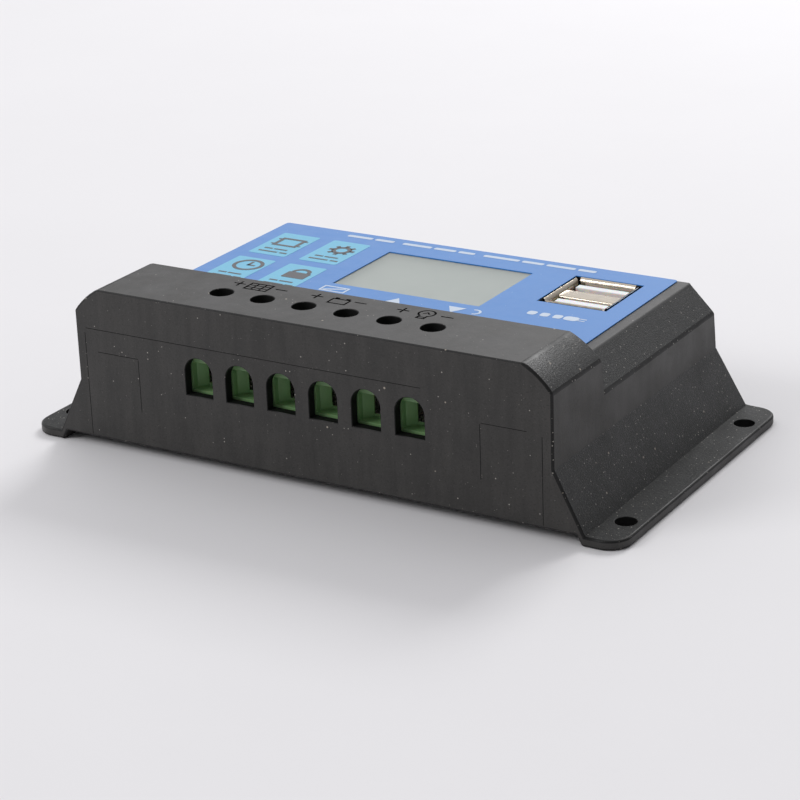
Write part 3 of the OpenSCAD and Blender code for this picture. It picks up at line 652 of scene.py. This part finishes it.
soften(nodes["display_glass"], 0.1)
soften(nodes["display_holder"], 0.2)
for key in ("menu", "up", "down"):
    soften(nodes[f"{key}_key"], 0.45, segments=4)
    soften(nodes[f"{key}_plunger"], 0.3)
    soften(nodes[f"{key}_switch"], 0.15)
soften(nodes["terminal_housing"], 0.12)
for i in range(1, 7):
    soften(nodes[f"terminal_screw_{i}"], 0.2)
    soften(nodes[f"terminal_clamp_{i}"], 0.15)
    soften(nodes[f"terminal_contact_{i}"], 0.12)
for name in ("case_screws", "board_screws"):
    soften(nodes[name], 0.25)
for name in ("usb_insulator", "microcontroller", "regulator", "power_diode", "shunt_resistor",
             "inductor_core"):
    soften(nodes[name], 0.12)
for i in range(1, 5):
    soften(nodes[f"mosfet_{i}"], 0.2)
for name in ("capacitor_1", "capacitor_2"):
    soften(nodes[name], 0.7, segments=4)
soften(nodes["heat_spreader"], 0.2)
soften(nodes["circuit_board"], 0.1, segments=1)

# ---------------------------------------------------------------- USB shield

usb_low, usb_high = node_box("usb_shell")
usb_x, usb_y = (usb_low.x + usb_high.x) / 2, (usb_low.y + usb_high.y) / 2
SHEET = 0.3
WALL_W, WALL_D = 13.1, 14.92
LIP_OUT = 0.75


def sweep(bm, profile, start, along, outward, length, taper=0.0):
    """Sweeps a closed profile of (outward, z) points over a length; taper narrows it as it rises."""
    rings = []
    top = max(z for _, z in profile)
    bottom = min(z for _, z in profile)
    for side in (-1, 1):
        ring = []
        for out, z in profile:
            rise = (z - bottom) / (top - bottom)
            reach = side * (length / 2 - taper * (1 - rise))
            p = Vector(start) + Vector(along) * reach + Vector(outward) * out
            ring.append(bm.verts.new((p.x, p.y, z)))
        rings.append(ring)
    n = len(profile)
    for i in range(n):
        j = (i + 1) % n
        bm.faces.new((rings[0][i], rings[0][j], rings[1][j], rings[1][i]))
    bm.faces.new(rings[0][::-1])
    bm.faces.new(rings[1])


def flare_profile(z0, z1, reach, sheet, steps=7):
    """Closed section of a lip that leaves a wall upright and curls outward."""
    outer, inner = [], []
    for k in range(steps + 1):
        a = math.radians(70 * k / steps)
        spread = reach / (1 - math.cos(math.radians(70)))
        rise = (z1 - z0) / math.sin(math.radians(70))
        centre = (spread * (1 - math.cos(a)), z0 + rise * math.sin(a))
        outer.append((centre[0] + sheet / 2 * math.cos(a), centre[1] - sheet / 2 * math.sin(a)))
        inner.append((centre[0] - sheet / 2 * math.cos(a), centre[1] + sheet / 2 * math.sin(a)))
    return outer + inner[::-1]


def build_usb_shield():
    """Folded steel shield: four walls, four flared lips and a web with rolled edges."""
    bm = bmesh.new()
    lip_z = PANEL_TOP - 1.1
    foot = usb_low.z
    for axis in (0, 1):
        for side in (-1, 1):
            half = (WALL_W if axis == 0 else WALL_D) / 2 - SHEET / 2
            length = (WALL_D if axis == 0 else WALL_W)
            outward = (side, 0, 0) if axis == 0 else (0, side, 0)
            along = (0, 1, 0) if axis == 0 else (1, 0, 0)
            start = Vector((usb_x, usb_y, 0)) + Vector(outward) * half
            wall = [(-SHEET / 2, foot), (SHEET / 2, foot), (SHEET / 2, lip_z), (-SHEET / 2, lip_z)]
            sweep(bm, wall, start, along, outward, length - (2 * SHEET if axis else 0))
            lip = flare_profile(lip_z - 0.02, usb_high.z - 0.12, LIP_OUT - SHEET / 2, SHEET)
            sweep(bm, lip, start, along, outward, length - 0.7, taper=0.35)
    web_half, web_top, roll = 2.02, PANEL_TOP - 0.5, 0.45
    section = []
    for k in range(7):
        a = math.radians(15 * k)
        section.append((web_half - roll + roll * math.sin(a), web_top - roll + roll * math.cos(a)))
    section = [(-y, z) for y, z in section[::-1]] + section
    inner = [(y * (1 - SHEET / web_half), z - SHEET) for y, z in section]
    section = [(-web_half, 15.5)] + section + [(web_half, 15.5), (web_half - SHEET, 15.5)] + inner[::-1]
    section.append((-web_half + SHEET, 15.5))
    sweep(bm, section, (usb_x, usb_y, 0), (1, 0, 0), (0, 1, 0), WALL_W - 2 * SHEET - 0.04)
    return make_piece("usb_shield", bm, [finishes["usb_nickel"]],
                      replaces=["usb_shell"], smooth=40)


build_usb_shield()

# ---------------------------------------------------------------- floor, light and camera

floor = Finish("paper_floor", 0.75)
floor.colour(floor.blend(floor.noise(60.0, 4.0), (0.74, 0.73, 0.745), (0.77, 0.76, 0.775)))
floor.bump(floor.noise(0.8, 3.0), 0.02, 0.3)
bm = bmesh.new()
ngon_prism(bm, rectangle(0, 500, 6000, 6000), -2.0, 0.0)
ground = make_piece("floor", bm, [floor.material], body=None)


def area_light(name, place, target, size, power, colour=(1, 1, 1)):
    """A square soft light at a place in metres, aimed at a target."""
    data = bpy.data.lights.new(name, "AREA")
    data.size = size
    data.energy = power
    data.color = colour
    lamp = bpy.data.objects.new(name, data)
    lamp.location = place
    lamp.rotation_euler = (Vector(target) - Vector(place)).to_track_quat("-Z", "Y").to_euler()
    scene.collection.objects.link(lamp)
    return lamp


def studio_sky():
    """White studio surround, bright at the back left and above, dim on the other side."""
    world = bpy.data.worlds.new("studio")
    scene.world = world
    world.use_nodes = True
    tree = world.node_tree
    place = tree.nodes.new("ShaderNodeTexCoord").outputs["Generated"]
    facing = tree.nodes.new("ShaderNodeVectorMath")
    facing.operation = "DOT_PRODUCT"
    facing.inputs[1].default_value = Vector((-0.80, 0.40, 0.45)).normalized()
    tree.links.new(place, facing.inputs[0])
    ramp = tree.nodes.new("ShaderNodeValToRGB")
    ramp.color_ramp.elements[0].position = 0.38
    ramp.color_ramp.elements[0].color = (0.24, 0.24, 0.245, 1)
    ramp.color_ramp.elements[1].position = 0.92
    ramp.color_ramp.elements[1].color = (0.95, 0.95, 0.97, 1)
    half = tree.nodes.new("ShaderNodeMapRange")
    half.inputs["From Min"].default_value = -1
    tree.links.new(facing.outputs["Value"], half.inputs["Value"])
    tree.links.new(half.outputs["Result"], ramp.inputs["Fac"])
    tree.links.new(ramp.outputs["Color"], tree.nodes["Background"].inputs["Color"])
    tree.nodes["Background"].inputs["Strength"].default_value = 1.0


studio_sky()
area_light("back_softbox", (-0.05, 0.95, 0.75), (0, 0, 0.02), 0.42, 6.6)
area_light("front_left_softbox", (-0.75, -0.80, 0.75), (0, 0, 0.02), 0.5, 6.0)
scene.view_settings.view_transform = "Standard"


def place_camera(azimuth, elevation, roll, lens, location):
    """Camera at a place, looking along an azimuth and elevation, then rolled."""
    a, e, r = (math.radians(v) for v in (azimuth, elevation, roll))
    back = Vector((math.sin(a) * math.cos(e), -math.cos(a) * math.cos(e), math.sin(e)))
    right = Vector((math.cos(a), math.sin(a), 0))
    up = back.cross(right)
    right, up = math.cos(r) * right + math.sin(r) * up, -math.sin(r) * right + math.cos(r) * up
    data = bpy.data.cameras.new("camera")
    data.lens = lens
    data.sensor_width = 36
    data.clip_start = 0.01
    camera = bpy.data.objects.new("camera", data)
    scene.collection.objects.link(camera)
    camera.matrix_world = Matrix.Translation(location) @ Matrix((right, up, back)).transposed().to_4x4()
    scene.camera = camera


place_camera(31.474, 21.222, -2.059, 113.835, (0.24887, -0.40784, 0.19121))
